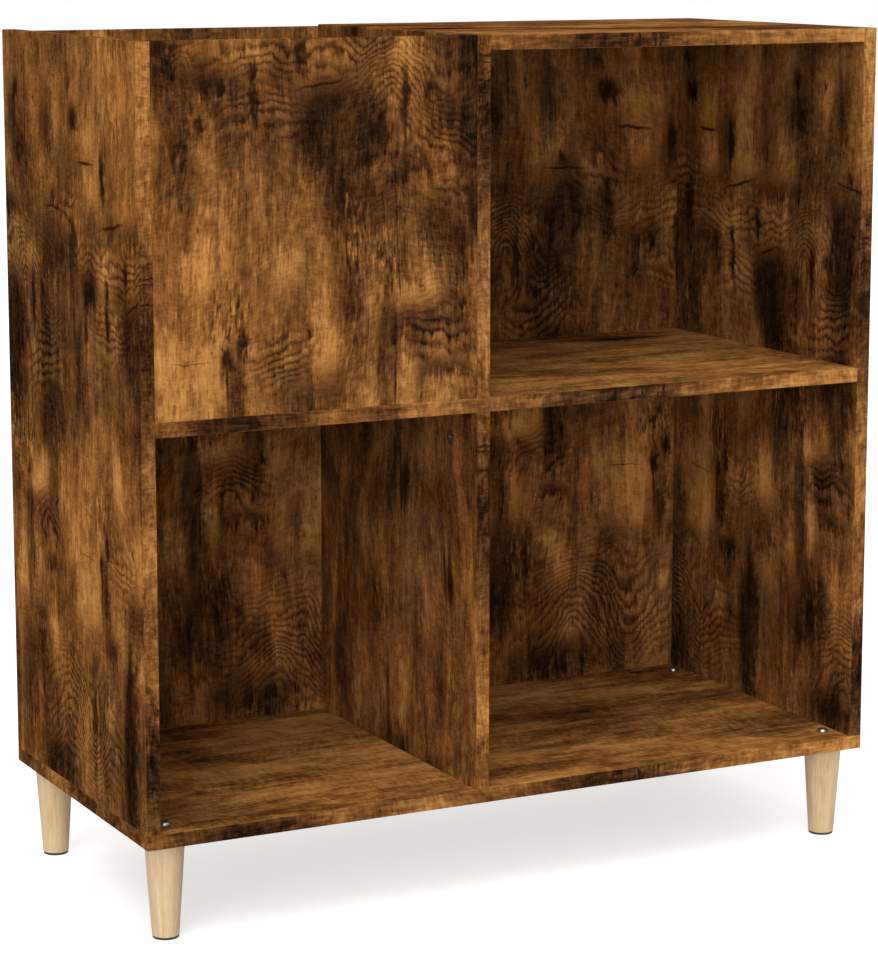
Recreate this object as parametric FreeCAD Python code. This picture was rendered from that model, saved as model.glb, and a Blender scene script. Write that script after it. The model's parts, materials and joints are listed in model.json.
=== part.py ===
import FreeCAD, Part
import os

# Record cabinet: foil-covered boards, knock-down fittings and four turned legs.
# Millimetres. +Z is up, the front faces -Y, and the origin is on the floor under the middle of the cabinet.

# Carcass
width = 845.0
depth = 380.0
height = 890.0
board = 15.0
left_bay_width = 350.0
lower_bay_height = 395.0
edge_break = 0.4

# Back panel and its nails
back_thickness = 3.0
back_margin = 2.0
nail_diameter = 1.8
nail_length = 18.0
nail_head_diameter = 3.6
nail_head_thickness = 0.8
nail_pitch = 150.0
nail_setback = 30.0

# Legs and foot pads
leg_height = 100.0
leg_top_diameter = 41.0
leg_foot_diameter = 27.5
leg_foot_round = 0.8
leg_inset = 30.0
pad_thickness = 2.5
pad_step = 0.4
pad_chamfer = 0.5

# Leg bolts and their threaded inserts
leg_bolt_diameter = 6.0
leg_bolt_length = 25.0
leg_bolt_head_diameter = 12.0
leg_bolt_head_height = 4.0
leg_bolt_head_round = 2.8
leg_bolt_socket = 4.0
leg_bolt_socket_depth = 2.2
insert_diameter = 10.0
insert_length = 13.0
insert_flange_diameter = 13.0
insert_flange_thickness = 1.0

# Cam locks: a cam in one board pulls on the head of a bolt that is screwed into the next
cam_diameter = 15.0
cam_setback = 34.0
cam_skin = 2.5
cam_sink = 0.2
cam_jaw = 2.2
cam_slot_angle = 230.0
cam_slot_lead = 60.0
cam_drive_length = 7.5
cam_drive_width = 1.5
cam_drive_depth = 2.0
cam_bolt_skin = 4.0
cam_bolt_thread_diameter = 6.0
cam_bolt_collar_diameter = 7.6
cam_bolt_collar_length = 2.5
cam_bolt_shank_diameter = 6.4
cam_bolt_neck_diameter = 4.2
cam_bolt_head_diameter = 6.8
cam_bolt_head_length = 2.8

# Dowels and the screws from below
dowel_diameter = 8.0
dowel_length = 30.0
dowel_skin = 4.5
dowel_chamfer = 1.0
dowel_end_gap = 0.8
screw_length = 50.0
screw_head_diameter = 10.0
screw_shank_diameter = 7.0
screw_shank_length = 13.0
screw_core_diameter = 5.0
screw_tip_length = 3.0
screw_socket = 4.0
screw_socket_depth = 3.0

# Where the fittings sit along a joint
fixing_setback = 60.0
fixing_stagger = 64.0
dowel_offset = 32.0

# Radial room round everything that goes into a bore, and how far a cutter runs past a face
fit = 0.1
overcut = 1.0

# Planes of the carcass
side_out = width / 2
side_in = side_out - board
side_mid = side_out - board / 2
front = -depth / 2
back_out = depth / 2
back_in = back_out - back_thickness
bin_front_in = front + board
bin_front_mid = front + board / 2
bottom_under = leg_height
bottom_mid = leg_height + board / 2
bottom_top = leg_height + board
shelf_under = bottom_top + lower_bay_height
shelf_mid = shelf_under + board / 2
shelf_top = shelf_under + board
top_under = height - board
top_mid = height - board / 2
partition_left = -side_in + left_bay_width
partition_mid = partition_left + board / 2
partition_right = partition_left + board

# Sizes that follow from the board and the fittings
cam_height = board - cam_skin - cam_sink
cam_bolt_thread_length = board - cam_bolt_skin
neck_room = cam_bolt_neck_diameter / 2 + 2 * fit
head_room = cam_bolt_head_diameter / 2 + 2 * fit
dowel_face_depth = board - dowel_skin
screw_head_height = (screw_head_diameter - screw_shank_diameter) / 2

RIGHT = FreeCAD.Vector(1, 0, 0)
LEFT = FreeCAD.Vector(-1, 0, 0)
REARWARD = FreeCAD.Vector(0, 1, 0)
FORWARD = FreeCAD.Vector(0, -1, 0)
UP = FreeCAD.Vector(0, 0, 1)
DOWN = FreeCAD.Vector(0, 0, -1)
ORIGIN = FreeCAD.Vector(0, 0, 0)


def point(x, y, z):
    return FreeCAD.Vector(x, y, z)


def panel(x_span, y_span, z_span):
    """A board with its edges lightly broken."""
    sizes = [span[1] - span[0] for span in (x_span, y_span, z_span)]
    box = Part.makeBox(*sizes, point(x_span[0], y_span[0], z_span[0]))
    return box.makeChamfer(edge_break, box.Edges)


def turned(profile):
    """A solid of revolution about Z from (radius, height) points."""
    points = [point(radius, 0, level) for radius, level in profile]
    outline = Part.makePolygon(points + points[:1])
    return Part.Face(outline).revolve(ORIGIN, UP, 360)


def hexagon_socket(across_flats, depth_down, top):
    """A cutter for a hexagon socket that opens upwards at the given level."""
    corner = across_flats / 3 ** 0.5
    turns = [FreeCAD.Rotation(UP, 60 * side) for side in range(7)]
    corners = [turn.multVec(point(corner, 0, top - depth_down)) for turn in turns]
    return Part.Face(Part.makePolygon(corners)).extrude(UP * (depth_down + overcut))


def aimed(shape, place, direction):
    """A copy of a piece drawn along +Z, set at a point and turned to a direction."""
    copy = shape.copy()
    copy.Placement = FreeCAD.Placement(place, FreeCAD.Rotation(UP, direction))
    return copy


def drill(diameter, start, direction, length):
    """A cutter for a bore that starts just outside a face."""
    return Part.makeCylinder(diameter / 2 + fit, length + overcut, start - direction * overcut, direction)


def pair(low, high, setback):
    """The two fixing places of a joint, each the same way in from its end."""
    return low + setback, high - setback


def spaced(low, high, pitch):
    """Places from end to end at about the given pitch."""
    steps = max(1, round((high - low) / pitch))
    return [low + (high - low) * step / steps for step in range(steps + 1)]


# Boards
carcass_depth = (front, back_in)
boards = {
    "bottom_panel": panel((-side_out, side_out), carcass_depth, (bottom_under, bottom_top)),
    "left_side_panel": panel((-side_out, -side_in), carcass_depth, (bottom_top, height)),
    "right_side_panel": panel((side_in, side_out), carcass_depth, (bottom_top, height)),
    "middle_shelf": panel((-side_in, side_in), carcass_depth, (shelf_under, shelf_top)),
    "top_panel": panel((partition_right, side_in), carcass_depth, (top_under, height)),
    "upper_partition": panel((partition_left, partition_right), carcass_depth, (shelf_top, height)),
    "lower_partition": panel((partition_left, partition_right), carcass_depth, (bottom_top, shelf_under)),
    "bin_front_panel": panel((-side_in, partition_left), (front, bin_front_in), (shelf_top, height)),
    "back_panel": panel(
        (-side_out + back_margin, side_out - back_margin),
        (back_in, back_out),
        (bottom_under + back_margin, height - back_margin),
    ),
}
bores = {name: [] for name in boards}
fittings = {
    "cam_lock_nuts": [],
    "cam_lock_bolts": [],
    "wooden_dowels": [],
    "bottom_screws": [],
    "back_panel_nails": [],
    "leg_bolts": [],
    "leg_insert_nuts": [],
}


def cam_nut():
    """The cam: its axis is Z, the bolt comes in along +X at z = 0, and its face is upwards."""
    radius = cam_diameter / 2
    face = board / 2 - cam_sink
    body = Part.makeCylinder(radius, cam_height, point(0, 0, face - cam_height))
    rim_slot = Part.makeCylinder(radius + overcut, 2 * neck_room, point(0, 0, -neck_room), UP, cam_slot_angle)
    pocket = Part.makeCylinder(radius - cam_jaw, 2 * head_room, point(0, 0, -head_room), UP, cam_slot_angle)
    slot = rim_slot.fuse(pocket)
    slot.rotate(ORIGIN, UP, 180 - cam_slot_lead)
    entry = Part.makeCylinder(head_room, radius + overcut, ORIGIN, RIGHT)
    drive_low = point(-cam_drive_length / 2, -cam_drive_width / 2, face - cam_drive_depth)
    drive = Part.makeBox(cam_drive_length, cam_drive_width, cam_drive_depth + overcut, drive_low)
    cross_drive = drive.copy()
    cross_drive.rotate(ORIGIN, UP, 90)
    return body.cut([slot, entry, drive, cross_drive])


def cam_bolt():
    """The bolt along +Z: its thread is below z = 0, which is the face of the board it is screwed into."""
    head_rim = (cam_bolt_head_diameter / 2) ** 2 - neck_room ** 2
    head_back = cam_setback - ((cam_diameter / 2 - cam_jaw) ** 2 - head_rim) ** 0.5 + fit
    neck_start = cam_setback - cam_diameter / 2 - fit
    return turned([
        (0, -cam_bolt_thread_length),
        (cam_bolt_thread_diameter / 2, -cam_bolt_thread_length),
        (cam_bolt_thread_diameter / 2, 0),
        (cam_bolt_collar_diameter / 2, 0),
        (cam_bolt_collar_diameter / 2, cam_bolt_collar_length),
        (cam_bolt_shank_diameter / 2, cam_bolt_collar_length),
        (cam_bolt_shank_diameter / 2, neck_start),
        (cam_bolt_neck_diameter / 2, neck_start),
        (cam_bolt_neck_diameter / 2, head_back),
        (cam_bolt_head_diameter / 2, head_back),
        (cam_bolt_head_diameter / 2, head_back + cam_bolt_head_length / 2),
        (cam_bolt_neck_diameter / 2, head_back + cam_bolt_head_length),
        (0, head_back + cam_bolt_head_length),
    ])


def dowel():
    """A dowel along +Z from the bottom of its bore in the face of a board."""
    radius = dowel_diameter / 2
    return turned([
        (0, 0),
        (radius - dowel_chamfer, 0),
        (radius, dowel_chamfer),
        (radius, dowel_length - dowel_chamfer),
        (radius - dowel_chamfer, dowel_length),
        (0, dowel_length),
    ])


def bottom_screw():
    """A countersunk screw along +Z from its head's face, which is flush with the underside."""
    screw = turned([
        (0, 0),
        (screw_head_diameter / 2, 0),
        (screw_shank_diameter / 2, screw_head_height),
        (screw_shank_diameter / 2, screw_shank_length),
        (screw_core_diameter / 2, screw_shank_length),
        (screw_core_diameter / 2, screw_length - screw_tip_length),
        (0, screw_length),
    ])
    socket = hexagon_socket(screw_socket, screw_socket_depth, 0)
    socket.rotate(ORIGIN, RIGHT, 180)
    return screw.cut(socket)


def nail():
    """A flat-head nail along +Z from the outside of its head, which is driven flush."""
    return turned([
        (0, 0),
        (nail_head_diameter / 2, 0),
        (nail_head_diameter / 2, nail_head_thickness),
        (nail_diameter / 2, nail_head_thickness),
        (nail_diameter / 2, nail_length - nail_diameter),
        (0, nail_length),
    ])


def leg_bolt():
    """A round-head bolt: its head stands on z = 0 and its shank hangs below."""
    head = Part.makeCylinder(leg_bolt_head_diameter / 2, leg_bolt_head_height)
    rim = [edge for edge in head.Edges if edge.BoundBox.ZMin > leg_bolt_head_height / 2]
    head = head.makeFillet(leg_bolt_head_round, rim)
    shank = Part.makeCylinder(leg_bolt_diameter / 2, leg_bolt_length, ORIGIN, DOWN)
    socket = hexagon_socket(leg_bolt_socket, leg_bolt_socket_depth, leg_bolt_head_height)
    return head.fuse(shank).cut(socket)


def insert_nut():
    """A flanged threaded insert that hangs below z = 0, with the bolt's hole through it."""
    inner = leg_bolt_diameter / 2 + fit
    return turned([
        (inner, 0),
        (insert_flange_diameter / 2, 0),
        (insert_flange_diameter / 2, -insert_flange_thickness),
        (insert_diameter / 2, -insert_flange_thickness),
        (insert_diameter / 2, -insert_length),
        (inner, -insert_length),
    ])


def leg():
    """A tapered leg under z = 0 with its foot rounded and its top bored for the insert."""
    length = leg_height - pad_thickness
    cone = Part.makeCone(leg_foot_diameter / 2, leg_top_diameter / 2, length, DOWN * length)
    foot_edge = [edge for edge in cone.Edges if edge.BoundBox.ZMax < -length / 2]
    cone = cone.makeFillet(leg_foot_round, foot_edge)
    flange_seat = drill(insert_flange_diameter, ORIGIN, DOWN, insert_flange_thickness)
    insert_bore = drill(insert_diameter, ORIGIN, DOWN, insert_length)
    return cone.cut([flange_seat, insert_bore])


def foot_pad():
    """A thin pad that stands on the floor under a leg's foot."""
    radius = leg_foot_diameter / 2 - pad_step
    return turned([
        (0, 0),
        (radius - pad_chamfer, 0),
        (radius, pad_chamfer),
        (radius, pad_thickness),
        (0, pad_thickness),
    ])


cam_nut_model = cam_nut()
cam_bolt_model = cam_bolt()
dowel_model = dowel()
screw_model = bottom_screw()
nail_model = nail()


def cam_joint(cam_board, bolt_board, joint, inward, face):
    """A cam lock: from the joint's face into the cam's board, with the cam in the named face of it."""
    seat = joint + inward * cam_setback
    cam = cam_nut_model.copy()
    cam.Placement = FreeCAD.Placement(seat, FreeCAD.Rotation(inward, face.cross(inward), face))
    fittings["cam_lock_nuts"].append(cam)
    fittings["cam_lock_bolts"].append(aimed(cam_bolt_model, joint, inward))
    bores[cam_board].append(drill(cam_diameter, seat + face * (board / 2), face * -1, cam_height + cam_sink))
    bores[cam_board].append(drill(cam_bolt_collar_diameter, joint, inward, cam_setback))
    bores[bolt_board].append(drill(cam_bolt_thread_diameter, joint, inward * -1, cam_bolt_thread_length))


def dowel_joint(end_board, face_board, joint, inward):
    """A dowel from the face of one board into the end of the next."""
    fittings["wooden_dowels"].append(aimed(dowel_model, joint - inward * dowel_face_depth, inward))
    bores[face_board].append(drill(dowel_diameter, joint, inward * -1, dowel_face_depth))
    end_depth = dowel_length - dowel_face_depth + dowel_end_gap
    bores[end_board].append(drill(dowel_diameter, joint, inward, end_depth))


def screw_joint(standing_board, x, y):
    """A screw from below through the bottom panel into the foot of a standing board."""
    under = point(x, y, bottom_under)
    fittings["bottom_screws"].append(aimed(screw_model, under, UP))
    cone_low = screw_head_diameter / 2 + fit + overcut
    cone_high = screw_shank_diameter / 2 + fit
    sink = Part.makeCone(cone_low, cone_high, screw_head_height + overcut, under - UP * overcut)
    bores["bottom_panel"].append(sink)
    bores["bottom_panel"].append(drill(screw_shank_diameter, under, UP, board + overcut))
    core_depth = screw_length - board
    bores[standing_board].append(drill(screw_core_diameter, point(x, y, bottom_top), UP, core_depth))


def nail_joint(edge_board, x, z):
    """A nail through the back panel into the rear edge of a board."""
    outside = point(x, back_out, z)
    fittings["back_panel_nails"].append(aimed(nail_model, outside, FORWARD))
    bores["back_panel"].append(drill(nail_head_diameter, outside, FORWARD, nail_head_thickness))
    bores["back_panel"].append(drill(nail_diameter, outside, FORWARD, back_thickness + overcut))
    edge = point(x, back_in, z)
    bores[edge_board].append(drill(nail_diameter, edge, FORWARD, nail_length - back_thickness))


# Cam locks
for y in pair(front, back_in, fixing_setback):
    cam_joint("middle_shelf", "left_side_panel", point(-side_in, y, shelf_mid), RIGHT, DOWN)
    cam_joint("middle_shelf", "right_side_panel", point(side_in, y, shelf_mid), LEFT, DOWN)
    cam_joint("lower_partition", "middle_shelf", point(partition_mid, y, shelf_under), DOWN, LEFT)
    cam_joint("top_panel", "upper_partition", point(partition_right, y, top_mid), RIGHT, DOWN)
    cam_joint("top_panel", "right_side_panel", point(side_in, y, top_mid), LEFT, DOWN)
for y in pair(front, back_in, fixing_setback + fixing_stagger):
    cam_joint("upper_partition", "middle_shelf", point(partition_mid, y, shelf_top), UP, LEFT)
for z in pair(shelf_top, height, fixing_setback):
    cam_joint("bin_front_panel", "left_side_panel", point(-side_in, bin_front_mid, z), RIGHT, REARWARD)
    cam_joint("bin_front_panel", "upper_partition", point(partition_left, bin_front_mid, z), LEFT, REARWARD)

# Dowels
for y in pair(front, back_in, fixing_setback + dowel_offset):
    dowel_joint("left_side_panel", "bottom_panel", point(-side_mid, y, bottom_top), UP)
    dowel_joint("right_side_panel", "bottom_panel", point(side_mid, y, bottom_top), UP)
    dowel_joint("lower_partition", "bottom_panel", point(partition_mid, y, bottom_top), UP)
    dowel_joint("lower_partition", "middle_shelf", point(partition_mid, y, shelf_under), DOWN)
    dowel_joint("middle_shelf", "left_side_panel", point(-side_in, y, shelf_mid), RIGHT)
    dowel_joint("middle_shelf", "right_side_panel", point(side_in, y, shelf_mid), LEFT)
    dowel_joint("top_panel", "upper_partition", point(partition_right, y, top_mid), RIGHT)
    dowel_joint("top_panel", "right_side_panel", point(side_in, y, top_mid), LEFT)
for y in pair(front, back_in, fixing_setback + fixing_stagger + dowel_offset):
    dowel_joint("upper_partition", "middle_shelf", point(partition_mid, y, shelf_top), UP)
for x in pair(-side_in, partition_left, fixing_setback + dowel_offset):
    dowel_joint("bin_front_panel", "middle_shelf", point(x, bin_front_mid, shelf_top), UP)

# Screws from below
for y in pair(front, back_in, fixing_setback):
    screw_joint("left_side_panel", -side_mid, y)
    screw_joint("right_side_panel", side_mid, y)
    screw_joint("lower_partition", partition_mid, y)

# Nails round the back panel and along the boards inside it
for z in spaced(bottom_top + nail_setback, height - nail_setback, nail_pitch):
    nail_joint("left_side_panel", -side_mid, z)
    nail_joint("right_side_panel", side_mid, z)
for x in spaced(-side_mid, side_mid, nail_pitch)[1:-1]:
    nail_joint("bottom_panel", x, bottom_mid)
    nail_joint("middle_shelf", x, shelf_mid)
for x in spaced(partition_mid, side_mid, nail_pitch)[1:-1]:
    nail_joint("top_panel", x, top_mid)
for z in spaced(bottom_mid, shelf_mid, nail_pitch)[1:-1]:
    nail_joint("lower_partition", partition_mid, z)
for z in spaced(shelf_mid, top_mid, nail_pitch)[1:-1]:
    nail_joint("upper_partition", partition_mid, z)

# Legs, each with its pad, insert and bolt
legs = {}
leg_model = leg()
pad_model = foot_pad()
leg_bolt_model = leg_bolt()
insert_model = insert_nut()
for row, y in (("front", front + leg_inset), ("rear", back_in - leg_inset)):
    for hand, x in (("left", -side_out + leg_inset), ("right", side_out - leg_inset)):
        head_seat = point(x, y, bottom_top)
        leg_top = point(x, y, bottom_under)
        legs[f"{row}_{hand}_leg"] = aimed(leg_model, leg_top, UP)
        legs[f"{row}_{hand}_foot_pad"] = aimed(pad_model, point(x, y, 0), UP)
        fittings["leg_bolts"].append(aimed(leg_bolt_model, head_seat, UP))
        fittings["leg_insert_nuts"].append(aimed(insert_model, leg_top, UP))
        bores["bottom_panel"].append(drill(leg_bolt_diameter, head_seat, DOWN, board + overcut))

# Cut the bores and write every piece
nodes = {name: solid.cut(bores[name]) for name, solid in boards.items()}
nodes.update(legs)
nodes.update({name: Part.makeCompound(solids) for name, solids in fittings.items()})
os.makedirs("parts", exist_ok=True)
for name, shape in nodes.items():
    shape.exportStep(f"parts/{name}.step")
    print(f"{name}: {len(shape.Solids)} solids, {shape.Volume / 1000:.1f} cm3, valid {shape.isValid()}")
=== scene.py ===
import json
import math

import bpy
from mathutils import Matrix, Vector


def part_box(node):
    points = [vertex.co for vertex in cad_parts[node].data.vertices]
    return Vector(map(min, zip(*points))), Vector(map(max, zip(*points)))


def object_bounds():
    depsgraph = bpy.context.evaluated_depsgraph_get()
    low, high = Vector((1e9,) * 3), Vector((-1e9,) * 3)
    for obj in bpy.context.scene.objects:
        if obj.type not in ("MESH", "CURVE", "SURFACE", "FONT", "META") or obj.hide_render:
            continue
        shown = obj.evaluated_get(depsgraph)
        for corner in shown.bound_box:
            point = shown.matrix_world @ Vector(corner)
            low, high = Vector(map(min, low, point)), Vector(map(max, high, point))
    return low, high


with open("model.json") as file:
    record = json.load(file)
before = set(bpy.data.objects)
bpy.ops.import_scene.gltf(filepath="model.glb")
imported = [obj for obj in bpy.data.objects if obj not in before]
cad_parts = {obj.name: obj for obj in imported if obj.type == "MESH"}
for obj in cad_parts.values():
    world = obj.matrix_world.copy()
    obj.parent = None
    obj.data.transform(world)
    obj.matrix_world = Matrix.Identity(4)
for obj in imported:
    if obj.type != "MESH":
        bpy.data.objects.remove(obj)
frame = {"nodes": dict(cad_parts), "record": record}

# Finishes, light and camera of a record cabinet. Every solid keeps the shape and place that the frame
# gives it. Sizes are in metres. The decor sheet and its marks are in millimetres, as its printer
# draws them.

cad_low, cad_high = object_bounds()
MM = 0.001


# Shader arithmetic

# The colour sockets of a Mix node, by number because its other sockets have the same names
MIX_FACTOR = 0
MIX_FIRST = 6
MIX_SECOND = 7
MIX_COLOUR = 2


class Wire:
    """One socket of a shader tree. Sums on it add Math nodes, and make() adds any other node."""

    def __init__(self, tree, socket=None):
        self.tree = tree
        self.socket = socket

    def make(self, kind, settings=None, sockets=None, out=0):
        """A new node in this tree: its settings first, then its sockets. Gives one of its outputs."""
        node = self.tree.nodes.new(kind)
        for name, value in (settings or {}).items():
            if name == "stops":
                set_stops(node.color_ramp, value)
            elif name == "mapping":
                set_mapping(node.texture_mapping, *value)
            else:
                setattr(node, name, value)
        for name, value in (sockets or {}).items():
            if isinstance(value, Wire):
                self.tree.links.new(value.socket, node.inputs[name])
            else:
                node.inputs[name].default_value = value
        return Wire(self.tree, node.outputs[out]) if node.outputs else None

    def math(self, operation, *values):
        return self.make("ShaderNodeMath", {"operation": operation}, dict(enumerate(values)))

    def __add__(self, other):
        return self.math("ADD", self, other)

    def __sub__(self, other):
        return self.math("SUBTRACT", self, other)

    def __rsub__(self, other):
        return self.math("SUBTRACT", other, self)

    def __mul__(self, other):
        return self.math("MULTIPLY", self, other)

    __radd__ = __add__
    __rmul__ = __mul__

    def at_most(self, other):
        return self.math("MINIMUM", self, other)

    def at_least(self, other):
        return self.math("MAXIMUM", self, other)

    def rise(self, low, high):
        """0 below low and 1 above high, smooth between them. With low above high it falls."""
        return self.make("ShaderNodeMapRange", {"interpolation_type": "SMOOTHSTEP"},
                         {"Value": self, "From Min": low, "From Max": high})

    def parts(self):
        """The three numbers of a vector."""
        node = self.make("ShaderNodeSeparateXYZ", sockets={"Vector": self}).socket.node
        return [Wire(self.tree, socket) for socket in node.outputs]

    def joined(self, x, y, z):
        return self.make("ShaderNodeCombineXYZ", sockets={"X": x, "Y": y, "Z": z})

    def noise(self, size, detail=2.0, rough=0.5, seed=0.0, out=0):
        """Noise with cells of about that size: across, along and through the grain."""
        spread = ("POINT", (seed, 1.7 * seed, 2.3 * seed), 0, [1 / length for length in size])
        return self.make("ShaderNodeTexNoise", {"mapping": spread}, {
            "Vector": self, "Scale": 1.0, "Detail": detail, "Roughness": rough}, out)

    def cells(self, size, shift, out=0):
        """Flat cells of about that size: how far the middle of one is, or a random colour for each."""
        spread = ("POINT", shift, 0, (1 / size[0], 1 / size[1], 0))
        return self.make("ShaderNodeTexVoronoi", {"voronoi_dimensions": "2D", "mapping": spread}, {
            "Vector": self, "Scale": 1.0}, out)

    def spot(self, across, down, wide, long, turn=0):
        """1 at a place, falling evenly to 0 at its half width and half length. The turn is in degrees."""
        spread = ("TEXTURE", (across, down, 0), math.radians(turn), (wide, long, 1))
        return self.make("ShaderNodeTexGradient", {"gradient_type": "SPHERICAL", "mapping": spread}, {
            "Vector": self}, "Fac")

    def ramp(self, stops):
        return self.make("ShaderNodeValToRGB", {"stops": stops}, {"Fac": self})

    def mixed(self, first, second):
        """The first colour where this is 0, and the second where it is 1."""
        return self.make("ShaderNodeMix", {"data_type": "RGBA"}, {
            MIX_FACTOR: self, MIX_FIRST: first, MIX_SECOND: second}, MIX_COLOUR)

    def tinted(self, tint):
        """This colour times another."""
        return self.make("ShaderNodeMix", {"data_type": "RGBA", "blend_type": "MULTIPLY"}, {
            MIX_FACTOR: 1.0, MIX_FIRST: self, MIX_SECOND: tint}, MIX_COLOUR)


def set_stops(ramp, stops):
    """Fills a colour ramp with (place, colour) stops, in rising order."""
    while len(ramp.elements) < len(stops):
        ramp.elements.new(1.0)
    for element, (place, colour) in zip(ramp.elements, stops):
        element.position = place
        element.color = colour


def set_mapping(mapping, kind, place, turn, scale):
    """Moves, turns about the third axis and scales the points that a texture reads."""
    mapping.vector_type = kind
    mapping.translation = place
    mapping.rotation = (0, 0, turn)
    mapping.scale = scale


def shade(red, green, blue):
    """A colour seen on a screen, 0 to 255, as the light that it stands for."""
    def light(part):
        part = part / 255
        return part / 12.92 if part <= 0.04045 else ((part + 0.055) / 1.055) ** 2.4
    return (light(red), light(green), light(blue), 1.0)


def finish(name, paint):
    """A material whose paint function fills the sockets of its shader and sets the fixed ones."""
    material = bpy.data.materials.new(name)
    material.use_nodes = True
    tree = material.node_tree
    shader = tree.nodes["Principled BSDF"]
    start = Wire(tree)
    place = start.make("ShaderNodeTexCoord", out="Object")
    for socket, value in paint(start, place).items():
        if isinstance(value, Wire):
            tree.links.new(value.socket, shader.inputs[socket])
        else:
            shader.inputs[socket].default_value = value
    return material


def bumped(height, strength, distance):
    return height.make("ShaderNodeBump", sockets={
        "Height": height, "Strength": strength, "Distance": distance})


# The printed decor of the boards: smoked planks, drawn once and cut to each board

PALEST_TONE = 1.25
DECOR_STOPS = (
    (0.00, shade(24, 14, 7)),
    (0.18, shade(48, 28, 14)),
    (0.36, shade(77, 47, 24)),
    (0.54, shade(106, 68, 34)),
    (0.70, shade(134, 88, 45)),
    (0.86, shade(163, 111, 58)),
    (1.02, shade(186, 132, 71)),
    (1.25, shade(208, 154, 89)),
)
REDDER = (1, 0.82, 0.54, 1)
YELLOWER = (1, 1.18, 1.46, 1)
MIDDLE_TONE = 0.55
# Boards that lie have a coarser and livelier cut
COARSE_CUT = 1.7
LYING_CONTRAST = 1.25
FOIL_BUMP = (0.22, 0.0006)

# Cells of the grain: across it, along it and, for noise, through the board
SWAY_CELL = (0.11, 0.26, 0.11)
FIBRE_CELL = (0.0021, 0.015, 0.0021)
STREAK_CELL = (0.0075, 0.090, 0.0075)
MOTTLE_CELL = (0.010, 0.013, 0.010)
CLOUD_CELL = (0.050, 0.120, 0.050)
CHATTER_CELL = (0.007, 0.0023, 0.007)
FLECK_CELL = (0.0030, 0.016, 0.0030)
RING_WANDER_CELL = (0.090, 0.110, 0.090)
TORN_CELL = (0.045, 0.110, 0.045)
FLAKE_CELL = (0.021, 0.190)
LOOSE_KNOT_CELL = (0.12, 0.28)

# What each layer of the grain adds to a tone: on the faces, and on the strip of a front edge
FACE_GRAIN = {"streak": 0.66, "fibre": 0.68, "mottle": 0.42, "chatter": 0.30}
EDGE_GRAIN = {"streak": 0.56, "fibre": 0.80, "mottle": 0.72, "chatter": 0.42}
MARKED_CLOUDS = {"cloud": 0.85}
PLAIN_CLOUDS = {"cloud": 1.15}
FLAKE_TONE = 0.20
PALE_CHIP_TONE = 0.30
TORN_PIT = 0.7
CRACK_DARKNESS = 0.85

# How far each layer of the grain moves what lies on it: the grain itself, in metres
SWAY_ACROSS = {"bend": 0.034}
SWAY_ALONG = {"shift": 0.070}
FLAKE_SIDES = {"fibre": 0.005}
# The marks of the sheet and of the edge strip, in millimetres
SHEET_ACROSS = {"bend": 18, "fibre": 7}
SHEET_DOWN = {"shift": 14}
STAIN_SIDES = {"mottle": 16}
STAIN_ENDS = {"streak": 48, "fibre": 26, "mottle": 20}
LINE_ENDS = {"bend": 14, "mottle": 6}
STRIP_LINES = {"mottle": 7}
STRIP_ENDS = {"streak": 44, "fibre": 26}
# The growth rings, in rings, and the loose knots, in widths of their cell
RING_LINES = {"mottle": 0.8, "streak": 0.9}
LOOSE_KNOT_SIDES = {"streak": 0.34}

# The sheet repeats at its width, and the grain moves a mark past its edge by the lap at most
SHEET_WIDTH = 381
SHEET_LAP = 15
SHEET_TURNS = range(-1, 4)

# Paler and darker bands across the whole sheet, in millimetres: place down it, half height, tone
SHEET_BANDS = (
    (62, 100, 0.080),
    (277, 100, -0.090),
    (392, 70, -0.035),
    (510, 110, 0.090),
    (705, 90, -0.080),
)
BAND_REACH = 9 * SHEET_WIDTH

# Marks of the sheet, in millimetres: place across and down, half width and half length, then what
# the list says.
# Stains and bright patches: tone
SHEET_TONES = (
    (250, 100, 30, 60, -0.38),
    (342, 92, 22, 56, -0.36),
    (362, 210, 64, 54, -0.34),
    (224, 186, 60, 16, -0.36),
    (350, 285, 56, 110, -0.24),
    (34, 230, 17, 60, -0.50),
    (77, 252, 34, 26, -0.36),
    (218, 302, 60, 62, -0.85),
    (228, 374, 44, 50, -0.44),
    (354, 226, 32, 26, -0.44),
    (344, 396, 46, 50, -0.62),
    (345, 450, 22, 74, -0.46),
    (110, 558, 14, 56, -0.50),
    (330, 503, 70, 36, -0.40),
    (338, 546, 34, 14, -0.44),
    (197, 562, 56, 40, -0.30),
    (172, 696, 23, 120, -0.80),
    (298, 640, 42, 60, -0.34),
    (263, 680, 30, 60, -0.36),
    (351, 756, 80, 36, -0.44),
    (160, 76, 46, 84, 0.30),
    (126, 228, 36, 32, 0.28),
    (297, 231, 54, 16, 0.14),
    (118, 398, 70, 72, 0.16),
    (71, 438, 19, 60, 0.36),
    (156, 437, 32, 36, 0.26),
    (56, 540, 62, 74, 0.42),
    (202, 517, 28, 60, 0.32),
    (283, 471, 34, 18, 0.36),
    (311, 459, 46, 28, 0.14),
    (304, 68, 15, 74, 0.12),
    (171, 40, 14, 50, 0.30),
    (155, 16, 44, 20, 0.26),
    (84, 150, 32, 30, 0.30),
    (168, 160, 40, 20, 0.30),
    (161, 122, 34, 60, 0.26),
    (136, 288, 42, 52, 0.18),
    (78, 100, 44, 36, 0.18),
    (71, 318, 22, 42, 0.26),
    (350, 634, 26, 50, 0.30),
    (256, 572, 36, 44, 0.34),
    (117, 674, 18, 26, 0.26),
    (59, 579, 38, 26, 0.26),
    (204, 619, 28, 26, 0.26),
    (337, 604, 22, 30, 0.26),
    (295, 547, 11, 60, 0.34),
    (129, 607, 30, 16, -0.36),
    (18, 554, 18, 32, -0.32),
    (286, 104, 44, 100, -0.19),
    (50, 312, 36, 56, -0.24),
    (228, 464, 28, 74, -0.22),
)
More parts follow.
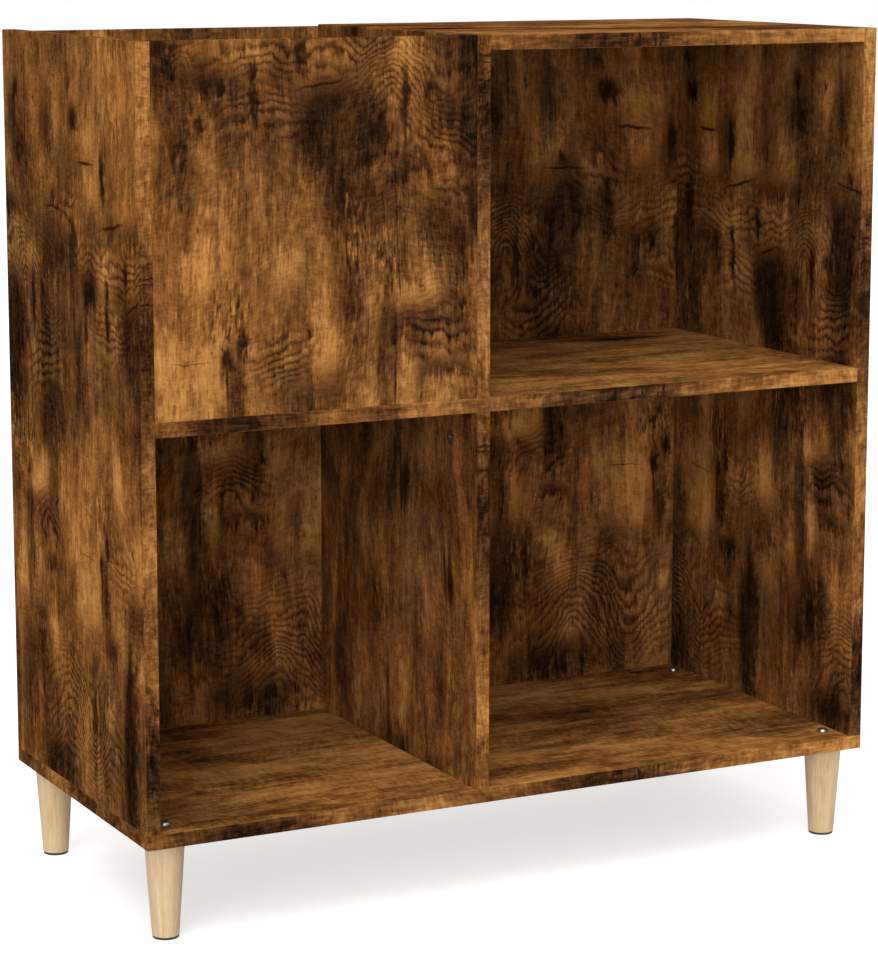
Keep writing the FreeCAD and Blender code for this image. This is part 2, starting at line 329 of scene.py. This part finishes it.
DARKEST_STAIN = -0.33
BRIGHTEST_PATCH = 0.27
# Planks with sharp sides: tone
SHEET_PLANKS = (
    (271, 120, 12, 130, -0.06),
    (271, 528, 12, 90, -0.22),
)
PLANK_SHARPNESS = 5
# Knots, spindles and pegs: strength
SHEET_KNOTS = (
    (37, 81, 21, 20, 1.05),
    (24, 48, 12, 13, 0.75),
    (120, 138, 10, 42, 1.0),
    (252, 62, 14, 22, 0.9),
    (306, 67, 4, 11, 0.9),
    (358, 165, 12, 14, 0.8),
    (127, 244, 8, 18, 1.0),
    (128, 275, 9, 34, 1.0),
    (178, 224, 10, 24, 1.0),
    (292, 276, 9, 52, 1.0),
    (320, 261, 13, 12, 0.8),
    (93, 258, 8, 16, 0.9),
    (70, 292, 6, 20, 0.8),
    (117, 503, 9, 22, 1.0),
    (101, 520, 9, 24, 1.0),
    (186, 497, 4, 8, 0.9),
    (277, 511, 4, 11, 1.0),
    (354, 478, 4, 14, 1.0),
    (172, 640, 8, 80, 0.9),
)
# Cracks and plank joints, as half length and half thickness: turn in degrees
SHEET_CRACKS = (
    (71, 124, 30, 2.6, 3),
    (142, 182, 44, 2.8, -14),
    (199, 254, 36, 2.4, -17),
    (361, 173, 38, 2.2, 4),
    (64, 524, 30, 0.8, 2),
    (101, 545, 48, 1.5, 90),
    (281, 70, 76, 1.2, 90),
    (281, 388, 28, 1.5, 90),
    (281, 560, 34, 1.5, 90),
)
# Torn and chipped zones, and how strong they are loose and at the core of a drawn one
LOOSE_CHIPS = 0.5
CHIPS_CORE = 1.5
SHEET_CHIPS = (
    (101, 474, 32, 44),
    (232, 402, 25, 80),
    (272, 431, 26, 52),
    (302, 621, 28, 46),
)
# Zones where the growth rings show, and how strong they are loose and at the core of a drawn one
LOOSE_FIGURE = 0.32
FIGURE_CORE = 1.3
SHEET_FIGURE = (
    (289, 252, 76, 48),
    (180, 222, 230, 34),
    (135, 290, 64, 42),
    (322, 330, 78, 66),
    (155, 522, 46, 46),
    (324, 510, 56, 46),
    (30, 690, 140, 104),
    (84, 705, 86, 76),
    (25, 178, 52, 36),
)
# Places that the rings arch round: count of rings, below 0 where they sag
SHEET_ARCHES = (
    (276, 262, 40, 70, 6),
    (53, 262, 16, 44, 5),
    (344, 268, 40, 50, -3),
    (372, 712, 66, 100, 5.5),
    (70, 700, 44, 100, -4.5),
    (155, 520, 70, 80, -4),
    (330, 506, 80, 70, 3),
)
# The rings: their pitch in metres, how many of them the figure wanders, and how dark they are
RING_PITCH = 0.0115
RING_WANDER = 11
RING_MIDDLE = 0.34
RING_TONE = 0.12
RING_MOTTLE = 0.36

# The strip glued on the front edges, printed once, in millimetres: place along it, half length, tone
EDGE_TONE = 0.62
EDGE_TONES = (
    (105, 95, -0.50),
    (255, 30, -0.08),
    (312, 48, 0.20),
    (525, 120, -0.45),
    (850, 220, 0.30),
)
# Thin cracks across the strip: place along it, half thickness
EDGE_CRACKS = (
    (562, 1.8),
    (581, 1.2),
    (587, 2.2),
)


def cut_marks(marks, start, size):
    """The marks on a board cut from the sheet at start, with copies of those across the sheet's edge."""
    for across, down, wide, long, *rest in marks:
        reach = max(wide, long) + SHEET_LAP
        places = [across + turn * SHEET_WIDTH - start[0] for turn in SHEET_TURNS]
        beside = any(-reach < place < size[0] + reach for place in places)
        if not (beside and -reach < down - start[1] < size[1] + reach):
            continue
        for shift in (-SHEET_WIDTH, 0, SHEET_WIDTH):
            if -wide - SHEET_LAP < across + shift < SHEET_WIDTH + wide + SHEET_LAP:
                yield (across + shift, down, wide, long), *rest


class Decor:
    """The decor on one board: its tone from 0, dark, to 1, pale, and the relief of its grain."""

    def __init__(self, place, board, across, along, start, seed):
        low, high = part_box(board)
        axes = place.parts()
        self.across = from_edge(axes, low, high, across)
        self.along = from_edge(axes, low, high, along)
        self.through = next(axes["xyz".index(axis)] for axis in "xyz" if axis not in across + along)
        self.lying = "x" in along
        self.start = start
        self.size = [(high - low)["xyz".index(way[1])] / MM for way in (across, along)]
        self.seed = seed
        self.lay_grain(place)
        self.lay_sheet(place)
        self.lay_tone()

    def marks(self, kind):
        return cut_marks(kind, self.start, self.size) if self.start else ()

    def moved(self, value, amounts):
        """A value that each layer of the grain moves up or down, by half its amount at most."""
        for layer, amount in amounts.items():
            value = value + (getattr(self, layer) - 0.5) * amount
        return value

    def lay_grain(self, place):
        """Noise from the finest fibres to the broad clouds, all along a grain that sways."""
        flat = place.joined(self.across, self.along, self.through)
        sway = flat.noise(SWAY_CELL, 1, 0.5, self.seed, "Color")
        self.bend, self.shift, self.patch = sway.parts()
        fine = 1 / COARSE_CUT if self.lying else 1.0
        self.bent = self.moved(self.across, SWAY_ACROSS) * fine
        swayed = self.moved(self.along, SWAY_ALONG) * fine
        self.grain = place.joined(self.bent, swayed, self.through * fine)
        self.fibre = self.grain.noise(FIBRE_CELL, 3, 0.75, self.seed)
        self.streak = self.grain.noise(STREAK_CELL, 4, 0.75, self.seed + 3)
        self.mottle = self.grain.noise(MOTTLE_CELL, 2, 0.65, self.seed + 5)
        self.cloud = self.grain.noise(CLOUD_CELL, 2, 0.60, self.seed + 7)
        self.chatter = self.grain.noise(CHATTER_CELL, 1, 0.60, self.seed + 11)
        self.fleck = self.grain.noise(FLECK_CELL, 1, 0.55, self.seed + 13)
        self.height = self.fibre * 0.6 + self.streak * 0.4

    def flakes(self):
        """Long narrow flakes of heartwood and sapwood with sharp sides, a random number for each."""
        ragged = self.grain.joined(self.moved(self.bent, FLAKE_SIDES), self.along, 0.0)
        return ragged.cells(FLAKE_CELL, (self.seed, 0, 0), "Color").parts()[0]

    def lay_sheet(self, place):
        """Where each point lies on the decor sheet, with the ragged ends that the fibres give a mark."""
        start = self.start or (0, 0)
        over = self.across * (1 / MM) + start[0]
        over = self.moved(over.math("WRAP", over, SHEET_WIDTH, 0), SHEET_ACROSS)
        down = self.moved(self.along * (1 / MM) + start[1], SHEET_DOWN)
        self.sheet = place.joined(self.moved(over, STAIN_SIDES), self.moved(down, STAIN_ENDS), 0.0)
        self.drawn = place.joined(over, self.moved(down, LINE_ENDS), 0.0)

    def lay_tone(self):
        """The sheet's stains, grain, figure, chips and knots, one over the other."""
        tone = self.moved(MIDDLE_TONE, MARKED_CLOUDS if self.start else PLAIN_CLOUDS)
        if self.start:
            tone = tone + self.stains()
            for down, half, amount in SHEET_BANDS:
                tone = tone + self.sheet.spot(SHEET_WIDTH / 2, down, BAND_REACH, half) * amount
        for spot, amount in self.marks(SHEET_PLANKS):
            tone = tone + (self.drawn.spot(*spot) * PLANK_SHARPNESS).at_most(1.0) * amount
        tone = self.moved(tone, FACE_GRAIN)
        tone = tone + (self.flakes() - 0.5) * self.patch.rise(0.62, 0.40) * FLAKE_TONE
        rings, shown = self.rings()
        tone = tone + (RING_MIDDLE - rings) * shown * (RING_TONE + self.mottle * RING_MOTTLE)
        chips = self.chips()
        tone = tone + self.fleck.rise(0.43, 0.34) * chips * PALE_CHIP_TONE
        torn = self.fleck.rise(0.57, 0.66) * chips
        dark = self.knots().at_least(torn * TORN_PIT)
        self.tone = tone * (1 - dark * (0.55 + self.fibre * 0.55))

    def stains(self):
        """The stains and bright patches, no darker or brighter where they overlap."""
        total = 0.0
        for spot, amount in self.marks(SHEET_TONES):
            cone = self.sheet.spot(*spot)
            total = cone.math("MULTIPLY_ADD", cone, amount, total)
        return total.at_least(DARKEST_STAIN).at_most(BRIGHTEST_PATCH)

    def rings(self):
        """Dark late wood of the growth rings, and how strongly the figure shows."""
        wander = self.grain.noise(RING_WANDER_CELL, 2, 0.5, self.seed + 17)
        count = self.along * (1 / RING_PITCH) + wander * RING_WANDER
        count = self.moved(count, RING_LINES)
        for spot, turns in self.marks(SHEET_ARCHES):
            cone = self.drawn.spot(*spot)
            count = cone.math("MULTIPLY_ADD", cone, turns, count)
        late = count.math("SINE", count * math.tau) * 0.5 + 0.5
        shown = self.patch.rise(0.56, 0.72) * LOOSE_FIGURE
        for (spot,) in self.marks(SHEET_FIGURE):
            shown = shown.at_least(self.sheet.spot(*spot) * FIGURE_CORE)
        return late * late, shown.at_most(1.0)

    def knots(self):
        """Small pits, and the knots and cracks of the sheet, or loose knots on a board without them."""
        pits = self.fleck.rise(0.70, 0.80) * 0.6
        if not self.start:
            return pits.at_least(self.loose_knots())
        dark = pits
        for spot, strength in self.marks(SHEET_KNOTS):
            dark = dark.at_least(self.sheet.spot(*spot) * strength)
        dark = dark.rise(0.05, 0.85)
        for (across, down, long, thick), turn in self.marks(SHEET_CRACKS):
            crack = self.drawn.spot(across, down, long, thick, turn)
            dark = dark.at_least(crack.rise(0.0, 0.8) * CRACK_DARKNESS)
        return dark

    def loose_knots(self):
        """Knots in some cells of the grain."""
        near = self.grain.cells(LOOSE_KNOT_CELL, (self.seed, self.seed, 0))
        chance = Wire(near.tree, near.socket.node.outputs["Color"]).parts()[0]
        return self.moved(near, LOOSE_KNOT_SIDES).rise(0.16, 0.0) * chance.rise(0.50, 0.60)

    def chips(self):
        """Where the face looks torn."""
        zone = self.grain.noise(TORN_CELL, 1, 0.5, self.seed + 23).rise(0.60, 0.72) * LOOSE_CHIPS
        for (spot,) in self.marks(SHEET_CHIPS):
            zone = zone.at_least(self.sheet.spot(*spot) * CHIPS_CORE)
        return zone.at_most(1.0)

    def edge(self, start):
        """Tone of the front edge's strip, cut at start and read from the board's left or lower end."""
        along = self.along * (1 / MM)
        from_end = along if self.lying else self.size[1] - along
        from_end = self.moved(from_end + start, STRIP_LINES)
        drawn = self.grain.joined(from_end, 0.0, 0.0)
        ragged = self.grain.joined(self.moved(from_end, STRIP_ENDS), 0.0, 0.0)
        tone = self.moved(EDGE_TONE, EDGE_GRAIN)
        for middle, half, amount in EDGE_TONES:
            tone = tone + ragged.spot(middle, 0, half, 1) * amount
        broken = self.fibre.rise(0.36, 0.56) * 0.7
        for middle, half in EDGE_CRACKS:
            tone = tone * (1 - drawn.spot(middle, 0, half, 1).rise(0.0, 0.8) * broken)
        return tone


def decor_colour(decor, tone):
    """The colour of a tone, from smoked heartwood to pale sapwood, redder here and yellower there."""
    stops = [(stop / PALEST_TONE, colour) for stop, colour in DECOR_STOPS]
    plain = (tone * (1 / PALEST_TONE)).ramp(stops)
    tint = (decor.shift * 0.6 + decor.mottle * 0.4).mixed(REDDER, YELLOWER)
    return plain.tinted(tint)


def from_edge(axes, low, high, way):
    """Distance from the board's edge, along +x, -z and so on."""
    axis = "xyz".index(way[1])
    if way[0] == "+":
        return axes[axis] - low[axis]
    return high[axis] - axes[axis]


def board_finish(board, across, along, start, seed, edge_start, lift):
    """The foil of one board: the decor on its faces, the strip on its front edge, and painted light that
    pales the flat faces of a lying board.
    """
    def paint(tree, place):
        decor = Decor(place, board, across, along, start, seed)
        tone = decor.tone
        backwards, upwards = tree.make("ShaderNodeNewGeometry", out="Normal").parts()[1:]
        # Painted light: lift makes the upward and downward faces of a lying board paler, standing in for
        # light from above
        if decor.lying:
            flat = (upwards * upwards).rise(0.3, 0.6)
            tone = (tone - MIDDLE_TONE) * LYING_CONTRAST + MIDDLE_TONE + flat * lift
        if edge_start is not None:
            tone = tone + backwards.rise(-0.6, -0.9) * (decor.edge(edge_start) - tone)
        return {
            "Base Color": decor_colour(decor, tone),
            "Roughness": 0.62 - tone * 0.10 + (decor.fibre - 0.5) * 0.16,
            "Specular IOR Level": 0.0,
            "Normal": bumped(decor.height, *FOIL_BUMP),
        }
    return finish(board + "_decor", paint)


# How each board is cut: across the grain, along it, start on the sheet if it has marks, own grain,
# start on the edge strip if it has one, and how much paler the flat faces of a lying board are
# painted, as painted light falling on them from above
BOARD_CUTS = {
    "bin_front_panel": ("+x", "-z", (22, 212), 1.0, None, 0.0),
    "left_side_panel": ("-y", "-z", (215, 0), 21.0, 37, 0.0),
    "right_side_panel": ("-y", "-z", (3, 0), 43.0, 37, 0.0),
    "upper_partition": ("-y", "-z", None, 65.0, 242, 0.0),
    "lower_partition": ("-y", "-z", None, 87.0, 227, 0.0),
    "middle_shelf": ("+y", "+x", None, 109.0, 17, 0.20),
    "bottom_panel": ("+y", "+x", None, 131.0, 2, 0.20),
    "top_panel": ("+y", "+x", None, 153.0, 390, 0.0),
}
BACK_CUT = ("+x", "-z", (64, 2), 175.0)


def back_board_finish():
    """Thin fibreboard: the decor on its inner face, bare brown board behind."""
    def paint(tree, place):
        decor = Decor(place, "back_panel", *BACK_CUT)
        facing = tree.make("ShaderNodeNewGeometry", out="Normal").parts()[1]
        printed = facing.rise(-0.3, -0.7)
        lint = place.noise((0.0016, 0.0016, 0.0016), 3, 0.7, 5)
        flow = place.noise((0.060, 0.060, 0.060), 3, 0.55, 9)
        bare = (lint * 0.6 + flow * 0.5 - 0.05).ramp((
            (0.25, shade(112, 79, 49)),
            (0.55, shade(144, 106, 69)),
            (0.85, shade(168, 130, 90)),
        ))
        return {
            "Base Color": printed.mixed(bare, decor_colour(decor, decor.tone)),
            "Roughness": 0.80 - printed * 0.20 + (lint - 0.5) * 0.14,
            "Specular IOR Level": 0.0,
            "Normal": bumped(printed * (decor.height - lint) + lint, *FOIL_BUMP),
        }
    return finish("back_board", paint)


# Turned legs, pads and fittings

def leg_wood_finish():
    """Pale turned wood with fine upright grain."""
    def paint(tree, place):
        pores = place.noise((0.0011, 0.0011, 0.022), 3, 0.6, 3)
        year = place.noise((0.0065, 0.0065, 0.110), 3, 0.6, 5)
        blush = place.noise((0.030, 0.030, 0.080), 2, 0.5, 7)
        tone = 0.5 + (year - 0.5) * 0.9 + (pores - 0.5) * 0.75 + (blush - 0.5) * 0.5
        return {
            "Base Color": tone.ramp((
                (0.10, shade(168, 137, 101)),
                (0.40, shade(197, 167, 128)),
                (0.62, shade(209, 180, 142)),
                (0.90, shade(223, 198, 163)),
            )),
            "Roughness": 0.50 + (pores - 0.5) * 0.3,
            "Specular IOR Level": 0.30,
            "Normal": bumped(pores, 0.15, 0.0003),
        }
    return finish("leg_wood", paint)


def foot_pad_finish():
    """Dark moulded pads, dusty in places."""
    def paint(tree, place):
        grit = place.noise((0.0008, 0.0008, 0.0008), 2, 0.6, 3)
        dust = place.noise((0.006, 0.006, 0.004), 3, 0.6, 5)
        return {
            "Base Color": (grit * 0.4 + dust * 0.6).ramp((
                (0.30, shade(34, 29, 26)),
                (0.75, shade(66, 58, 52)),
            )),
            "Roughness": 0.68 + (grit - 0.5) * 0.3,
            "Specular IOR Level": 0.35,
            "Normal": bumped(grit, 0.2, 0.0002),
        }
    return finish("foot_pad", paint)


def metal_finish(name, dull, bright, rough):
    """Plated or cast metal: soft clouding and fine scratches."""
    def paint(tree, place):
        cloud = place.noise((0.004, 0.004, 0.004), 3, 0.6, 3)
        scratch = place.noise((0.0004, 0.003, 0.0004), 2, 0.5, 5)
        tone = cloud * 0.7 + scratch * 0.3
        return {
            "Base Color": tone.ramp(((0.30, dull), (0.70, bright))),
            "Metallic": 1.0,
            "Roughness": rough + (tone - 0.5) * 0.25,
            "Normal": bumped(scratch, 0.10, 0.0001),
        }
    return finish(name, paint)


def dowel_wood_finish():
    """Plain beech with short dark flecks."""
    def paint(tree, place):
        fleck = place.noise((0.0007, 0.0007, 0.0007), 2, 0.6, 3)
        grain = place.noise((0.002, 0.012, 0.002), 3, 0.6, 5)
        return {
            "Base Color": (grain * 0.7 + fleck * 0.3).ramp((
                (0.30, shade(188, 152, 112)),
                (0.70, shade(222, 190, 150)),
            )),
            "Roughness": 0.60 + (fleck - 0.5) * 0.2,
            "Specular IOR Level": 0.25,
        }
    return finish("dowel_wood", paint)


def dress(node, material):
    """Gives a solid of the frame its finish."""
    slots = frame["nodes"][node].data.materials
    slots.clear()
    slots.append(material)


def dress_cabinet():
    for board, cut in BOARD_CUTS.items():
        dress(board, board_finish(board, *cut))
    dress("back_panel", back_board_finish())
    by_slot = {
        "leg_wood": leg_wood_finish(),
        "foot_pad": foot_pad_finish(),
        "zinc_steel": metal_finish("zinc_steel", shade(122, 121, 118), shade(184, 183, 180), 0.34),
        "cast_zinc": metal_finish("cast_zinc", shade(118, 116, 112), shade(176, 174, 170), 0.42),
        "dowel_wood": dowel_wood_finish(),
    }
    for part in frame["record"]["subparts"]:
        if part["material_slot"] in by_slot:
            dress(part["node"], by_slot[part["material_slot"]])


# Stage, light and camera

FLOOR_HALF = 14.0
FLOOR_PALE = 0.70
FLOOR_LIFT = 0.58
SKY_LEVEL = 0.25
CAMERA_PLACE = (-1.4915, -2.9049, 1.0000)
CAMERA_YAW = 27.122
CAMERA_TILT = 9.313
CAMERA_LENS = 112.78
CAMERA_SHIFT = -0.065
# Azimuth and elevation in degrees, level, and spread in degrees
LAMPS = {
    "key_lamp": (-34, 10, 0.73, 50),
    "high_lamp": (-40, 60, 0.57, 50),
    "rear_lamp": (150, 35, 0.42, 60),
}


def background_rays(start):
    """1 for the rays that show the background itself: camera, mirror and glass rays."""
    path = start.make("ShaderNodeLightPath").socket.node
    shown = Wire(start.tree, path.outputs["Is Camera Ray"])
    for kind in ("Is Glossy Ray", "Is Transmission Ray"):
        shown = shown.at_least(Wire(start.tree, path.outputs[kind]))
    return shown


def lay_floor():
    """A pale floor that keeps the shadow, reads white where it is lit, and is clear from below."""
    mesh = bpy.data.meshes.new("floor")
    around = ((-1, -1), (1, -1), (1, 1), (-1, 1))
    corners = [(x * FLOOR_HALF, y * FLOOR_HALF, cad_low.z) for x, y in around]
    mesh.from_pydata(corners, [], [(0, 1, 2, 3)])
    floor = bpy.data.objects.new("floor", mesh)
    bpy.context.scene.collection.objects.link(floor)
    material = bpy.data.materials.new("floor")
    material.use_nodes = True
    tree = material.node_tree
    tree.nodes.clear()
    start = Wire(tree)
    matt = start.make("ShaderNodeBsdfDiffuse", sockets={"Color": (FLOOR_PALE, FLOOR_PALE, FLOOR_PALE, 1)})
    lift = start.make("ShaderNodeEmission", sockets={"Strength": background_rays(start) * FLOOR_LIFT})
    lit = start.make("ShaderNodeAddShader", sockets={0: matt, 1: lift})
    clear = start.make("ShaderNodeBsdfTransparent")
    below = start.make("ShaderNodeNewGeometry", out="Backfacing")
    seen = start.make("ShaderNodeMixShader", sockets={0: below, 1: lit, 2: clear})
    start.make("ShaderNodeOutputMaterial", sockets={"Surface": seen})
    mesh.materials.append(material)


def hang_sky():
    """Even light from all round, which shows as white."""
    world = bpy.data.worlds.new("sky")
    world.use_nodes = True
    bpy.context.scene.world = world
    tree = world.node_tree
    tree.nodes.clear()
    start = Wire(tree)
    strength = SKY_LEVEL + background_rays(start) * (1 - SKY_LEVEL)
    sky = start.make("ShaderNodeBackground", sockets={"Color": (1, 1, 1, 1), "Strength": strength})
    start.make("ShaderNodeOutputWorld", sockets={"Surface": sky})


def hang_lamp(name, azimuth, elevation, level, spread):
    """A wide soft lamp far away. Azimuth 0 stands in front of the cabinet, and 90 at its right."""
    lamp = bpy.data.lights.new(name, "SUN")
    lamp.energy = level * math.pi
    lamp.angle = math.radians(spread)
    holder = bpy.data.objects.new(name, lamp)
    turn = math.radians(azimuth)
    lift = math.radians(elevation)
    towards = Vector((math.sin(turn) * math.cos(lift), -math.cos(turn) * math.cos(lift), math.sin(lift)))
    holder.rotation_euler = towards.to_track_quat("Z", "Y").to_euler()
    bpy.context.scene.collection.objects.link(holder)


def stand_camera():
    camera = bpy.data.cameras.new("camera")
    camera.lens = CAMERA_LENS
    camera.shift_y = CAMERA_SHIFT
    holder = bpy.data.objects.new("camera", camera)
    holder.location = CAMERA_PLACE
    holder.rotation_euler = (math.radians(90 - CAMERA_TILT), 0, math.radians(-CAMERA_YAW))
    bpy.context.scene.collection.objects.link(holder)
    bpy.context.scene.camera = holder


dress_cabinet()
lay_floor()
hang_sky()
for lamp_name, lamp_light in LAMPS.items():
    hang_lamp(lamp_name, *lamp_light)
stand_camera()
bpy.context.scene.view_settings.view_transform = "Standard"
